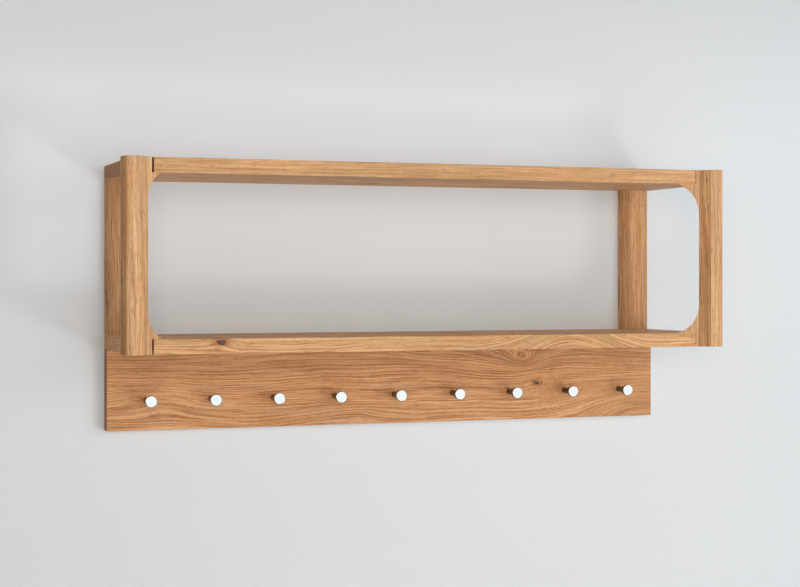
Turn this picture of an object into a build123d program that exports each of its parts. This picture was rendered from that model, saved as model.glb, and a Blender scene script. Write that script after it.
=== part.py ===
from build123d import *
import os

os.makedirs("parts", exist_ok=True)

# Wall shelf with a peg rail. Millimetres. The origin is the centre of the peg rail's back face. The wall
# is the plane Y = 0, the front is -Y and +X runs to the right along the wall.

# ---- driving dimensions ----
overall_width = 1000.0  # over the outer faces of the two front posts
end_setback = 16.0  # from those faces to the ends of the shelves and the rail
board_thickness = 23.0  # every board is cut from the same stock
shelf_depth = 234.0
frame_height = 292.0  # from under the lower shelf to the top of the upper shelf
rail_height = 130.0
edge_ease = 1.0  # sanded arrises

# front posts: a crowned front, a bowed outer side and a bevelled inner flank. The insets are measured
# from the outer face of the post.
post_tongue_depth = 18.0  # part of the post that sits in the notch of a shelf
post_crown_depth = 19.0  # how far the crown stands before the shelf edges
post_shoulder_depth = 16.0  # the same for the two arrises beside the crown
ear_inset = 45.5  # inner edge of the post at the shelves
crease_inset = 39.8  # foot of the inner flank, and the edge of the opening
inner_arris_inset = 26.8
outer_arris_inset = 5.0
rear_arris_inset = 3.5
bow_height = 2.4  # how far behind the shelf edges the outer side is widest
arris_round_radius = 1.6
corner_round_radius = 3.0

# the opening between the front posts is splayed, wider at the back. Its corners are shaped by hand.
upper_left_radius = 43.0
lower_left_radius = 45.0
upper_right_radius = 52.0
lower_right_radius = 48.0
left_overrun_height = 7.0  # how far the left corners run past the shelves, so they meet them at an angle
splay_width = 11.8
past_depth = 2.0  # how far the cutter runs past the two faces
toe_height = 1.0  # height of a corner block at its thin end

left_notch_gap = 3.25  # shadow gap between a post and the side of its notch
right_notch_gap = 0.9

# rear posts
rear_post_width = 54.0
rear_post_radius = 19.0

# dowels
dowel_d = 8.0
dowel_spare_length = 1.0  # air behind each end of a dowel
shelf_hole_depth = 16.0
rear_post_hole_depth = 20.0
rail_hole_depth = 24.0
shelf_edge_hole_depth = 20.0
front_post_hole_depth = 14.0
rear_dowel_pitch = 24.0
front_dowel_inner_inset = 37.0
front_dowel_outer_inset = 24.0
rail_dowel_count = 5
rail_dowel_end_inset = 84.0  # from the end of the rail

# pegs
peg_count = 9
peg_end_inset = 64.0  # from the end of the rail to the first peg
peg_drop_height = 17.0  # of the peg axes under the middle of the rail
peg_reach_length = 36.0
peg_head_d = 19.0
peg_head_length = 5.0
peg_neck_d = 10.5
peg_head_radius = 1.0  # rounding of the head's rims
screw_d = 4.0
screw_hole_d = 4.6
screw_grip_length = 8.0  # length of thread in a peg
screw_head_d = 8.0
screw_head_length = 3.0
pocket_d = 10.0
pocket_depth = 5.0

# hangers: keyhole plates let into the back of the rear posts
hanger_height = 64.0  # of their middle over the middle of the frame
plate_width = 22.0
plate_length = 60.0
plate_thickness = 2.0
plate_corner_radius = 3.0
key_entry_d = 9.0
key_slot_width = 4.6
key_slot_length = 11.0
key_pocket_width = 13.0
key_pocket_length = 27.0
key_pocket_depth = 9.0
key_pocket_radius = 4.0
plate_screw_offset = 24.0
plate_screw_d = 3.5
plate_screw_head_d = 6.5
plate_screw_head_length = 1.5
plate_screw_length = 16.0

# ---- heights and positions that follow ----
half_width = overall_width / 2
board_length = overall_width - 2 * end_setback
half_board = board_length / 2
rail_low = -rail_height / 2
shelf_under = rail_height / 2
shelf_top = shelf_under + board_thickness
top_under = shelf_under + frame_height - board_thickness
clear_height = top_under - shelf_top
mid_height = (shelf_top + top_under) / 2
ear_x = half_width - ear_inset
crease_x = half_width - crease_inset
inner_arris_x = half_width - inner_arris_inset
outer_arris_x = half_width - outer_arris_inset
rear_arris_x = half_width - rear_arris_inset
notch_gap = {-1: left_notch_gap, 1: right_notch_gap}
notch_back = -shelf_depth + post_tongue_depth
board_mid = -board_thickness / 2
rear_x = half_board - rear_post_width / 2
rear_dowel_xs = [rear_x - rear_dowel_pitch / 2, rear_x + rear_dowel_pitch / 2]
rear_dowel_points = [(s * x, board_mid) for s in (-1, 1) for x in rear_dowel_xs]
rail_dowel_pitch = (board_length - 2 * rail_dowel_end_inset) / (rail_dowel_count - 1)
rail_dowel_points = [
    ((i - (rail_dowel_count - 1) / 2) * rail_dowel_pitch, board_mid) for i in range(rail_dowel_count)
]
peg_pitch = (board_length - 2 * peg_end_inset) / (peg_count - 1)
peg_xs = [(i - (peg_count - 1) / 2) * peg_pitch for i in range(peg_count)]
peg_z = -peg_drop_height
front_dowel_xs = [half_width - front_dowel_inner_inset, half_width - front_dowel_outer_inset]
front_dowel_signed = [s * x for s in (-1, 1) for x in front_dowel_xs]
hanger_z = mid_height + hanger_height
overrun = {-1: left_overrun_height, 1: 0.0}
radii = {
    (-1, "upper"): upper_left_radius,
    (-1, "lower"): lower_left_radius,
    (1, "upper"): upper_right_radius,
    (1, "lower"): lower_right_radius,
}


# ---- shelves ----
with BuildPart() as bottom_shelf:
    with BuildSketch(Plane.XY.offset(shelf_under)):
        with Locations((0, -shelf_depth / 2)):
            Rectangle(board_length, shelf_depth)
        for side in (-1, 1):
            notch_x = ear_x - notch_gap[side]
            with Locations((side * (notch_x + half_width) / 2, -shelf_depth)):
                Rectangle(half_width - notch_x, 2 * post_tongue_depth, mode=Mode.SUBTRACT)
    extrude(amount=board_thickness)
    fillet(bottom_shelf.faces().sort_by(Axis.Y)[0].edges().filter_by(Axis.X), edge_ease)
    with BuildSketch(Plane.XY.offset(shelf_top)):
        with Locations(*rear_dowel_points):
            Circle(dowel_d / 2)
    extrude(amount=-shelf_hole_depth, mode=Mode.SUBTRACT)
    with BuildSketch(Plane.XY.offset(shelf_under)):
        with Locations(*rail_dowel_points):
            Circle(dowel_d / 2)
    extrude(amount=shelf_hole_depth, mode=Mode.SUBTRACT)
    with BuildSketch(Plane.XZ.offset(-notch_back)):
        with Locations(*[(x, shelf_under + board_thickness / 2) for x in front_dowel_signed]):
            Circle(dowel_d / 2)
    extrude(amount=-shelf_edge_hole_depth, mode=Mode.SUBTRACT)
bottom_shelf.part.label = "bottom_shelf"
export_step(bottom_shelf.part, "parts/bottom_shelf.step")

with BuildPart() as top_shelf:
    with BuildSketch(Plane.XY.offset(top_under)):
        with Locations((0, -shelf_depth / 2)):
            Rectangle(board_length, shelf_depth)
        for side in (-1, 1):
            notch_x = ear_x - notch_gap[side]
            with Locations((side * (notch_x + half_width) / 2, -shelf_depth)):
                Rectangle(half_width - notch_x, 2 * post_tongue_depth, mode=Mode.SUBTRACT)
    extrude(amount=board_thickness)
    fillet(top_shelf.faces().sort_by(Axis.Y)[0].edges().filter_by(Axis.X), edge_ease)
    with BuildSketch(Plane.XY.offset(top_under)):
        with Locations(*rear_dowel_points):
            Circle(dowel_d / 2)
    extrude(amount=shelf_hole_depth, mode=Mode.SUBTRACT)
    with BuildSketch(Plane.XZ.offset(-notch_back)):
        with Locations(*[(x, top_under + board_thickness / 2) for x in front_dowel_signed]):
            Circle(dowel_d / 2)
    extrude(amount=-shelf_edge_hole_depth, mode=Mode.SUBTRACT)
top_shelf.part.label = "top_shelf"
export_step(top_shelf.part, "parts/top_shelf.step")

# ---- peg rail ----
with BuildPart() as peg_rail:
    with BuildSketch(Plane.XY.offset(rail_low)):
        with Locations((0, board_mid)):
            Rectangle(board_length, board_thickness)
    extrude(amount=rail_height)
    fillet(peg_rail.faces().sort_by(Axis.Y)[0].edges().sort_by(Axis.Z)[0], edge_ease)
    with BuildSketch(Plane.XY.offset(shelf_under)):
        with Locations(*rail_dowel_points):
            Circle(dowel_d / 2)
    extrude(amount=-rail_hole_depth, mode=Mode.SUBTRACT)
    with BuildSketch(Plane.XZ):
        with Locations(*[(x, peg_z) for x in peg_xs]):
            Circle(screw_hole_d / 2)
    extrude(amount=board_thickness, mode=Mode.SUBTRACT)
    with BuildSketch(Plane.XZ):
        with Locations(*[(x, peg_z) for x in peg_xs]):
            Circle(pocket_d / 2)
    extrude(amount=pocket_depth, mode=Mode.SUBTRACT)
peg_rail.part.label = "peg_rail"
export_step(peg_rail.part, "parts/peg_rail.step")

# ---- rear posts, with a pocket for a keyhole plate in the back of each ----
for side, place in ((-1, "left"), (1, "right")):
    with BuildPart() as rear_post:
        with BuildSketch(Plane.XY.offset(shelf_top)) as rear_section:
            with Locations((side * rear_x, board_mid)):
                Rectangle(rear_post_width, board_thickness)
            fillet(rear_section.vertices().group_by(Axis.Y)[0], rear_post_radius)
        extrude(amount=clear_height)
        for level, way in ((shelf_top, 1), (top_under, -1)):
            with BuildSketch(Plane.XY.offset(level)):
                with Locations(*[(side * x, board_mid) for x in rear_dowel_xs]):
                    Circle(dowel_d / 2)
            extrude(amount=way * rear_post_hole_depth, mode=Mode.SUBTRACT)
        with BuildSketch(Plane.XZ):
            with Locations((side * rear_x, hanger_z)):
                RectangleRounded(plate_width, plate_length, plate_corner_radius)
        extrude(amount=plate_thickness, mode=Mode.SUBTRACT)
        with BuildSketch(Plane.XZ):
            with Locations((side * rear_x, hanger_z)):
                RectangleRounded(key_pocket_width, key_pocket_length, key_pocket_radius)
        extrude(amount=key_pocket_depth, mode=Mode.SUBTRACT)
        with BuildSketch(Plane.XZ):
            with Locations(*[(side * rear_x, hanger_z + s * plate_screw_offset) for s in (-1, 1)]):
                Circle(plate_screw_d / 2)
        extrude(amount=plate_screw_length, mode=Mode.SUBTRACT)
    rear_post.part.label = "rear_" + place + "_post"
    export_step(rear_post.part, "parts/rear_" + place + "_post.step")

# ---- cutter for the splayed opening: narrow in front, wide behind ----
front_scale = -past_depth / post_tongue_depth
back_scale = 1 + past_depth / post_tongue_depth
with BuildPart() as opening:
    for scale, depth in (
        (front_scale, shelf_depth + past_depth),
        (back_scale, shelf_depth - post_tongue_depth - past_depth),
    ):
        with BuildSketch(Plane.XZ.offset(depth)) as mouth:
            mouth_x = crease_x + scale * splay_width
            low_right = (mouth_x, shelf_top)
            high_right = (mouth_x, top_under)
            high_left = (-mouth_x, top_under + left_overrun_height)
            low_left = (-mouth_x, shelf_top - left_overrun_height)
            Polygon(low_right, high_right, high_left, low_left, align=None)
            for (side, level), radius in radii.items():
                way = 1 if level == "upper" else -1
                corner = mouth.vertices().sort_by(lambda v: side * v.X + way * v.Y)[-1]
                fillet(corner, radius)
    loft(ruled=True)

# ---- front posts ----
for side, place in ((-1, "left"), (1, "right")):
    with BuildPart() as front_post:
        with BuildSketch(Plane.XY.offset(shelf_under)) as front_section:
            with BuildLine():
                Polyline(
                    (side * rear_arris_x, notch_back),
                    (side * ear_x, notch_back),
                    (side * ear_x, -shelf_depth),
                    (side * crease_x, -shelf_depth),
                    (side * inner_arris_x, -shelf_depth - post_shoulder_depth),
                )
                ThreePointArc(
                    (side * inner_arris_x, -shelf_depth - post_shoulder_depth),
                    (side * (inner_arris_x + outer_arris_x) / 2, -shelf_depth - post_crown_depth),
                    (side * outer_arris_x, -shelf_depth - post_shoulder_depth),
                )
                ThreePointArc(
                    (side * outer_arris_x, -shelf_depth - post_shoulder_depth),
                    (side * half_width, -shelf_depth + bow_height),
                    (side * rear_arris_x, notch_back),
                )
            make_face()
            corners = front_section.vertices()
            fillet(corners.filter_by(lambda v: abs(abs(v.X) - inner_arris_x) < 0.01), arris_round_radius)
            corners = front_section.vertices()
            fillet(corners.filter_by(lambda v: abs(abs(v.X) - outer_arris_x) < 0.01), corner_round_radius)
            corners = front_section.vertices()
            fillet(corners.filter_by(lambda v: abs(abs(v.X) - rear_arris_x) < 0.01), corner_round_radius)
        extrude(amount=frame_height)
        add(opening.part, mode=Mode.SUBTRACT)
        with BuildSketch(Plane.XZ.offset(-notch_back)):
            for level in (shelf_under, top_under):
                with Locations(*[(side * x, level + board_thickness / 2) for x in front_dowel_xs]):
                    Circle(dowel_d / 2)
        extrude(amount=front_post_hole_depth, mode=Mode.SUBTRACT)
    front_post.part.label = "front_" + place + "_post"
    export_step(front_post.part, "parts/front_" + place + "_post.step")

# ---- corner blocks, which carry the curve of the opening over to the shelves ----
for (side, name), radius in radii.items():
    place = "left" if side < 0 else "right"
    centre_height = radius - overrun[side]
    level = top_under - centre_height if name == "upper" else shelf_top
    toe_x = crease_x - radius + (radius**2 - (centre_height - toe_height) ** 2) ** 0.5
    with BuildPart() as block:
        with BuildSketch(Plane.XY.offset(level)):
            with Locations((side * (ear_x + toe_x) / 2, notch_back - post_tongue_depth / 2)):
                Rectangle(ear_x - toe_x, post_tongue_depth)
        extrude(amount=centre_height)
        add(opening.part, mode=Mode.SUBTRACT)
    block.part.label = name + "_" + place + "_block"
    export_step(block.part, "parts/" + name + "_" + place + "_block.step")

# ---- dowels ----
with BuildPart() as rear_post_dowels:
    for level in (shelf_top - shelf_hole_depth, top_under - rear_post_hole_depth):
        with BuildSketch(Plane.XY.offset(level + dowel_spare_length)):
            with Locations(*rear_dowel_points):
                Circle(dowel_d / 2)
        extrude(amount=shelf_hole_depth + rear_post_hole_depth - 2 * dowel_spare_length)
rear_post_dowels.part.label = "rear_post_dowels"
export_step(rear_post_dowels.part, "parts/rear_post_dowels.step")

with BuildPart() as front_post_dowels:
    with BuildSketch(Plane.XZ.offset(-notch_back - shelf_edge_hole_depth + dowel_spare_length)):
        for level in (shelf_under, top_under):
            with Locations(*[(x, level + board_thickness / 2) for x in front_dowel_signed]):
                Circle(dowel_d / 2)
    extrude(amount=shelf_edge_hole_depth + front_post_hole_depth - 2 * dowel_spare_length)
front_post_dowels.part.label = "front_post_dowels"
export_step(front_post_dowels.part, "parts/front_post_dowels.step")

with BuildPart() as rail_dowels:
    with BuildSketch(Plane.XY.offset(shelf_under - rail_hole_depth + dowel_spare_length)):
        with Locations(*rail_dowel_points):
            Circle(dowel_d / 2)
    extrude(amount=rail_hole_depth + shelf_hole_depth - 2 * dowel_spare_length)
rail_dowels.part.label = "rail_dowels"
export_step(rail_dowels.part, "parts/rail_dowels.step")

# ---- pegs: turned metal, each with a blind hole for the screw from behind the rail ----
for number, x in enumerate(peg_xs, 1):
    with BuildPart() as peg:
        with BuildSketch(Plane.XZ.offset(board_thickness)):
            with Locations((x, peg_z)):
                Circle(peg_neck_d / 2)
        extrude(amount=peg_reach_length - peg_head_length)
        with BuildSketch(Plane.XZ.offset(board_thickness + peg_reach_length - peg_head_length)):
            with Locations((x, peg_z)):
                Circle(peg_head_d / 2)
        extrude(amount=peg_head_length)
        rims = peg.edges().filter_by(GeomType.CIRCLE).filter_by(lambda e: abs(e.radius - peg_head_d / 2) < 0.01)
        fillet(rims, peg_head_radius)
        with BuildSketch(Plane.XZ.offset(board_thickness)):
            with Locations((x, peg_z)):
                Circle(screw_d / 2)
        extrude(amount=screw_grip_length + dowel_spare_length, mode=Mode.SUBTRACT)
    peg.part.label = "peg_" + str(number)
    export_step(peg.part, "parts/peg_" + str(number) + ".step")

with BuildPart() as peg_screws:
    with BuildSketch(Plane.XZ.offset(pocket_depth - screw_head_length)):
        with Locations(*[(x, peg_z) for x in peg_xs]):
            Circle(screw_head_d / 2)
    extrude(amount=screw_head_length)
    with BuildSketch(Plane.XZ.offset(pocket_depth)):
        with Locations(*[(x, peg_z) for x in peg_xs]):
            Circle(screw_d / 2)
    extrude(amount=board_thickness - pocket_depth + screw_grip_length)
peg_screws.part.label = "peg_screws"
export_step(peg_screws.part, "parts/peg_screws.step")

# ---- keyhole plates and their screws ----
for side, place in ((-1, "left"), (1, "right")):
    with BuildPart() as hanger:
        with BuildSketch(Plane.XZ):
            with Locations((side * rear_x, hanger_z)):
                RectangleRounded(plate_width, plate_length, plate_corner_radius)
            with Locations((side * rear_x, hanger_z - key_slot_length / 2)):
                Circle(key_entry_d / 2, mode=Mode.SUBTRACT)
            with Locations((side * rear_x, hanger_z)):
                SlotCenterToCenter(key_slot_length, key_slot_width, rotation=90, mode=Mode.SUBTRACT)
            with Locations(*[(side * rear_x, hanger_z + s * plate_screw_offset) for s in (-1, 1)]):
                Circle(plate_screw_d / 2, mode=Mode.SUBTRACT)
        extrude(amount=plate_thickness)
        with BuildSketch(Plane.XZ):
            with Locations(*[(side * rear_x, hanger_z + s * plate_screw_offset) for s in (-1, 1)]):
                Circle(plate_screw_head_d / 2)
        extrude(amount=plate_screw_head_length, taper=45, mode=Mode.SUBTRACT)
    hanger.part.label = "hanger_" + place
    export_step(hanger.part, "parts/hanger_" + place + ".step")

hanger_points = [(s * rear_x, hanger_z + t * plate_screw_offset) for s in (-1, 1) for t in (-1, 1)]
with BuildPart() as hanger_screws:
    with BuildSketch(Plane.XZ):
        with Locations(*hanger_points):
            Circle(plate_screw_head_d / 2)
    extrude(amount=plate_screw_head_length, taper=45)
    with BuildSketch(Plane.XZ):
        with Locations(*hanger_points):
            Circle(plate_screw_d / 2)
    extrude(amount=plate_screw_length)
hanger_screws.part.label = "hanger_screws"
export_step(hanger_screws.part, "parts/hanger_screws.step")
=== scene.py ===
# %% [markdown]
# # An oak wall shelf with a peg rail
# Two oak boards are held apart by rounded front posts and flat rear posts, and a rail with nine turned
# metal pegs hangs below. The solids of every piece come from model.glb. This lesson dresses them: it
# grows oak for each board, rounds the arrises and turns the pegs. Everything is in metres, the wall is
# the plane y = 0, the front faces -y, and the origin is the centre of the rail's back.

import math

import bmesh
import bpy
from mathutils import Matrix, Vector


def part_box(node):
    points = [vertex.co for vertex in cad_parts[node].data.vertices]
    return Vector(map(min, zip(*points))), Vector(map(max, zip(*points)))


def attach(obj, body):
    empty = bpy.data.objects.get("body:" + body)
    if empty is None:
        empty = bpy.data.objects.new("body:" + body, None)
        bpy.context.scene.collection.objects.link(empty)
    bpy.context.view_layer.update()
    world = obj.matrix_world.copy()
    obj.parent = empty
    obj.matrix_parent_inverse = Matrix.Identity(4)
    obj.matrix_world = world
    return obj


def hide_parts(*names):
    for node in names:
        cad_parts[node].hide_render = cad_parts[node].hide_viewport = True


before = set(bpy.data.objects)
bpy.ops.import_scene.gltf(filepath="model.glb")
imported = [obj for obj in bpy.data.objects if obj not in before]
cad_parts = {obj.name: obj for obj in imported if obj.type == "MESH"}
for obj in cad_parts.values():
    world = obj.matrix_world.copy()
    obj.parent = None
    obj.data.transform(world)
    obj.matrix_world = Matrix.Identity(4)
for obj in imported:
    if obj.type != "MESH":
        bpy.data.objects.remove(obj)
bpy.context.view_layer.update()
print("pieces in the frame:", len(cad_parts))

# %% [markdown]
# ## The oak
# Oak is drawn in layers, from the tree inwards. Growth rings are cylinders round the pith, so a ring
# number is a distance from a line, and a board shows whatever its faces cut out of those cylinders. A
# texture image would stop at each edge; a ring field in space runs on from the face over the arris into
# the end grain, as in a real board. Each layer is a shader node group, so that every board can have it
# with values of its own. Short helpers come first, since a shader built by hand repeats the same few
# steps.

# %% Helpers: nodes and links
def join(tree, socket, value):
    """Links a socket to an output, or sets its value."""
    if isinstance(value, bpy.types.NodeSocket):
        tree.links.new(value, socket)
    else:
        socket.default_value = value


def add(tree, kind, *inputs, **settings):
    """Adds a node, sets its options, and links or sets its inputs in order."""
    made = tree.nodes.new("ShaderNode" + kind)
    for key, value in settings.items():
        setattr(made, key, value)
    for i, value in enumerate(inputs):
        if value is not None:
            join(tree, made.inputs[i], value)
    return made


def group(name, takes, gives):
    """Starts a node group with named sockets and returns it with its two end nodes."""
    tree = bpy.data.node_groups.new(name, "ShaderNodeTree")
    for label, kind, value in takes:
        socket = tree.interface.new_socket(label, in_out="INPUT", socket_type="NodeSocket" + kind)
        if value is not None:
            socket.default_value = value
    for label, kind in gives:
        tree.interface.new_socket(label, in_out="OUTPUT", socket_type="NodeSocket" + kind)
    return tree, tree.nodes.new("NodeGroupInput").outputs, tree.nodes.new("NodeGroupOutput").inputs


def use(tree, made_group, **values):
    """Places a node group, fills its inputs by name and returns its outputs."""
    placed = tree.nodes.new("ShaderNodeGroup")
    placed.node_tree = made_group
    for label, value in values.items():
        join(tree, placed.inputs[label.replace("_", " ")], value)
    return placed.outputs


print("helpers for nodes and groups are ready")

# %% Helpers: sums, noises and blends
def calc(tree, operation, *inputs):
    return add(tree, "Math", *inputs, operation=operation).outputs[0]


def plus(tree, first, second):
    return calc(tree, "ADD", first, second)


def minus(tree, first, second):
    return calc(tree, "SUBTRACT", first, second)


def times(tree, first, second):
    return calc(tree, "MULTIPLY", first, second)


def vec(tree, operation, *inputs):
    return add(tree, "VectorMath", *inputs, operation=operation).outputs


def scaled(tree, vector, factor):
    made = add(tree, "VectorMath", vector, operation="SCALE")
    join(tree, made.inputs["Scale"], factor)
    return made.outputs[0]


def axes(tree, vector):
    """Splits a vector into its x, y and z."""
    return add(tree, "SeparateXYZ", vector).outputs


def spread(tree, value, low, high, to_low=0.0, to_high=1.0):
    """Maps low..high smoothly onto to_low..to_high."""
    made = add(tree, "MapRange", value, low, high, to_low, to_high, interpolation_type="SMOOTHSTEP")
    return made.outputs[0]


def noise(tree, spot, scale=1.0, detail=2.0, stretch=None):
    """Reads a noise whose waves are scale to the metre, or stretch to the metre on each axis."""
    if stretch:
        spot = vec(tree, "MULTIPLY", spot, stretch)[0]
    made = add(tree, "TexNoise", spot)
    made.inputs["Scale"].default_value = scale
    made.inputs["Detail"].default_value = detail
    return made.outputs[0]


def blend(tree, factor, first, second, how="MIX"):
    """Mixes two colours."""
    made = add(tree, "Mix", data_type="RGBA", blend_type=how)
    factor_socket, first_socket, second_socket = made.inputs[0], made.inputs[6], made.inputs[7]
    join(tree, factor_socket, factor)
    join(tree, first_socket, first)
    join(tree, second_socket, second)
    return made.outputs[2]


print("helpers for sums, noises and blends are ready")

# %% [markdown]
# ### Growth rings
# The grain runs along x in this group. The distance from the pith line gives the ring number. The line
# leans against the board, which opens the rings into the pointed arches of a flat-sawn face, and two
# slow noises make it wander. The group also gives out the flow: how far a point lies along the grain, out
# from the pith and round it. Whatever is drawn in those three runs with the rings.

# %% Node group: growth rings, the distance from the pith
WANDER_WAVES = (2.6, 8.0, 8.0)  # to the metre, on each axis
RIPPLE_WAVES = (17.0, 45.0, 45.0)
RIPPLE_HEIGHT = 0.0035
TURN_LENGTH = 0.3  # what one radian round the pith counts for in the flow
MIDDLE = 0.5  # the mean of a noise
BOTH_WAYS = 2.0  # a noise swings by half to each side of its mean

rings, taken, given = group(
    "growth rings",
    [
        ("Vector", "Vector", None),
        ("Pith", "Vector", (0.0, 0.03, 0.0)),
        ("Lean", "Vector", (0.0, 0.05, 0.0)),
        ("Ring Width", "Float", 0.0035),
        ("Wander", "Float", 0.012),
        ("Swell", "Float", 0.0),
    ],
    [("Line", "Float"), ("Year", "Float"), ("Flow", "Vector")],
)
spot = taken["Vector"]
along = axes(rings, spot)[0]
lean = scaled(rings, taken["Lean"], along)
from_pith = vec(rings, "SUBTRACT", vec(rings, "SUBTRACT", spot, taken["Pith"])[0], lean)[0]
across = vec(rings, "MULTIPLY", from_pith, (0.0, 1.0, 1.0))[0]
wander = times(rings, minus(rings, noise(rings, spot, stretch=WANDER_WAVES), MIDDLE), taken["Wander"])
ripple = times(rings, minus(rings, noise(rings, spot, stretch=RIPPLE_WAVES), MIDDLE), RIPPLE_HEIGHT)
reach = plus(rings, vec(rings, "LENGTH", across)[1], times(rings, wander, BOTH_WAYS))
reach = plus(rings, plus(rings, reach, ripple), taken["Swell"])
side = axes(rings, across)
turn = times(rings, calc(rings, "ARCTAN2", side[1], side[2]), TURN_LENGTH)
flow = add(rings, "CombineXYZ", along, reach, turn).outputs[0]
rings.links.new(flow, given["Flow"])
print("the flow runs with the rings in", rings.name)

# %% [markdown]
# A year starts with light spring wood and darkens to a thin line of late wood. A sawtooth of the ring
# number gives that: it rises slowly and drops at once. Real rings differ from year to year, so a noise
# spaces them unevenly, a throw of dice sets how dark each one is, and a second, fainter set runs between
# them. Lines that were equally dark all along would look printed, so a long noise fades them in places.

# %% Node group: growth rings, the lines of the years
UNEVEN_WAVES = 0.45  # to one year
UNEVEN_YEARS = 1.4  # how far the noise can move a line, in years
LATE_PEAK = 0.90  # the share of a year at which its line is darkest
LATE_DROP = 0.92
LATE_START = 0.62
FAINT_START = 0.45
FAINT_RINGS = 1.62  # faint rings to one strong ring
FAINT_DEPTH = 0.75
LEAST_DEPTH = 0.55
FADE_WAVES = (13.0, 240.0, 12.0)
FADE_RANGE = (0.34, 0.60, 0.20, 1.0)


def year_line(years, start):
    """Darkens slowly towards the end of the year and drops off at once."""
    share = calc(rings, "FRACT", years)
    rise = spread(rings, share, start, LATE_PEAK)
    return times(rings, rise, spread(rings, share, LATE_DROP, 1.0, 1.0, 0.0))


age = calc(rings, "DIVIDE", reach, taken["Ring Width"])
uneven = add(rings, "TexNoise", None, age, noise_dimensions="1D")
uneven.inputs["Scale"].default_value = UNEVEN_WAVES
age = plus(rings, age, times(rings, uneven.outputs[0], UNEVEN_YEARS))
dice = add(rings, "TexWhiteNoise", None, calc(rings, "FLOOR", age), noise_dimensions="1D").outputs[0]
darkness = plus(rings, LEAST_DEPTH, times(rings, dice, 1.0 - LEAST_DEPTH))
strong = times(rings, year_line(age, LATE_START), darkness)
faint = times(rings, year_line(times(rings, age, FAINT_RINGS), FAINT_START), FAINT_DEPTH)
fade = spread(rings, noise(rings, flow, stretch=FADE_WAVES), *FADE_RANGE)
line = times(rings, calc(rings, "MAXIMUM", strong, faint), fade)
rings.links.new(line, given["Line"])
rings.links.new(dice, given["Year"])
print("made the group", rings.name)

# %% [markdown]
# ### Pores and rays
# Oak's vessels are open tubes, a quarter of a millimetre wide and centimetres long. On a long face they
# are short dark dashes, and on an end they are dots. One noise stretched along the flow gives both. A
# second one gives the long soft streaks of lighter and darker fibre, and a third the pale silky flecks of
# the rays. A broad one lets the tone of the board rise and fall.

# %% Node group: pores and rays
PORE_WAVES = (60.0, 1400.0, 1400.0)
PORE_EDGE = 0.62  # a dash is where the noise is above this
PORE_SOFTNESS = 0.07
MORE_IN_LINES = 0.10  # how much lower that edge is in a dark line
STREAK_WAVES = (9.0, 330.0, 150.0)
RAY_WAVES = (90.0, 60.0, 480.0)
RAY_RANGE = (0.60, 0.72)
TONE_WAVES = (3.2, 60.0, 14.0)

pores, taken, given = group(
    "pores and rays",
    [("Flow", "Vector", None), ("Line", "Float", 0.5)],
    [("Pores", "Float"), ("Streaks", "Float"), ("Rays", "Float"), ("Tone", "Float")],
)
flow = taken["Flow"]
dash = noise(pores, flow, detail=1.0, stretch=PORE_WAVES)
edge = minus(pores, PORE_EDGE, times(pores, taken["Line"], MORE_IN_LINES))
rays = noise(pores, flow, detail=1.0, stretch=RAY_WAVES)
pores.links.new(spread(pores, minus(pores, dash, edge), 0.0, PORE_SOFTNESS), given["Pores"])
pores.links.new(noise(pores, flow, detail=3.0, stretch=STREAK_WAVES), given["Streaks"])
pores.links.new(spread(pores, rays, *RAY_RANGE), given["Rays"])
pores.links.new(noise(pores, flow, stretch=TONE_WAVES), given["Tone"])
print("made the group", pores.name)

# %% [markdown]
# ### Knots
# A branch pushes the rings aside. A smooth bump added to the distance from the pith does the same: the
# rings flow round it, and where the bump is steep they close into ovals. The branch itself is a dark core
# in a halo of red-brown wood. In a burl the rings are crumpled, which a fine noise under the bump gives.

# %% Node group: knot, the bump
CRUMPLE_WAVES = 330.0

knot, taken, given = group(
    "knot",
    [
        ("Vector", "Vector", None),
        ("Centre", "Vector", (0.0, 0.0, 0.0)),
        ("Stretch", "Vector", (1.0, 1.0, 1.0)),
        ("Tilt", "Float", 0.0),
        ("Height", "Float", 0.01),
        ("Core", "Float", 0.0),
        ("Burl", "Float", 0.0),
    ],
    [("Swell", "Float"), ("Core", "Float"), ("Halo", "Float"), ("Near", "Float")],
)
offset = vec(knot, "SUBTRACT", taken["Vector"], taken["Centre"])[0]
climb = times(knot, axes(knot, offset)[0], taken["Tilt"])
sheared = vec(knot, "SUBTRACT", offset, add(knot, "CombineXYZ", 0.0, 0.0, climb).outputs[0])[0]
far = vec(knot, "LENGTH", vec(knot, "MULTIPLY", sheared, taken["Stretch"])[0])[1]
bell = calc(knot, "EXPONENT", times(knot, times(knot, far, far), -1.0))
crumple = times(knot, minus(knot, noise(knot, taken["Vector"], CRUMPLE_WAVES), MIDDLE), taken["Burl"])
swell = times(knot, bell, plus(knot, taken["Height"], crumple))
knot.links.new(swell, given["Swell"])
knot.links.new(bell, given["Near"])
print("the bump pushes the rings in", knot.name)

# %% Node group: knot, the core and its halo
RAGGED_WAVES = 190.0
RAGGED_SHARE = 1.3  # of the radius
CORE_SOFTNESS = 0.75  # the core is full up to this share of its radius
HALO_REACH = 2.6

radius = taken["Core"]
ragged = minus(knot, noise(knot, taken["Vector"], RAGGED_WAVES), MIDDLE)
rim = plus(knot, far, times(knot, ragged, times(knot, radius, RAGGED_SHARE)))
knot.links.new(spread(knot, rim, times(knot, radius, CORE_SOFTNESS), radius, 1.0, 0.0), given["Core"])
knot.links.new(spread(knot, rim, radius, times(knot, radius, HALO_REACH), 1.0, 0.0), given["Halo"])
print("made the group", knot.name)

# %% [markdown]
# ### Where the grain runs in a board
# A board has its own place in the tree, and no two boards in the shelf are cut from the same one. The
# object's coordinates are turned so that the grain runs along x, and then each board's knots are added.
# Object coordinates are used because they stay with a piece wherever it goes.

# %% Oak: the space of the grain
UPRIGHT = (0.0, math.radians(90), 0.0)
LEVEL = (0.0, 0.0, 0.0)


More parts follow.
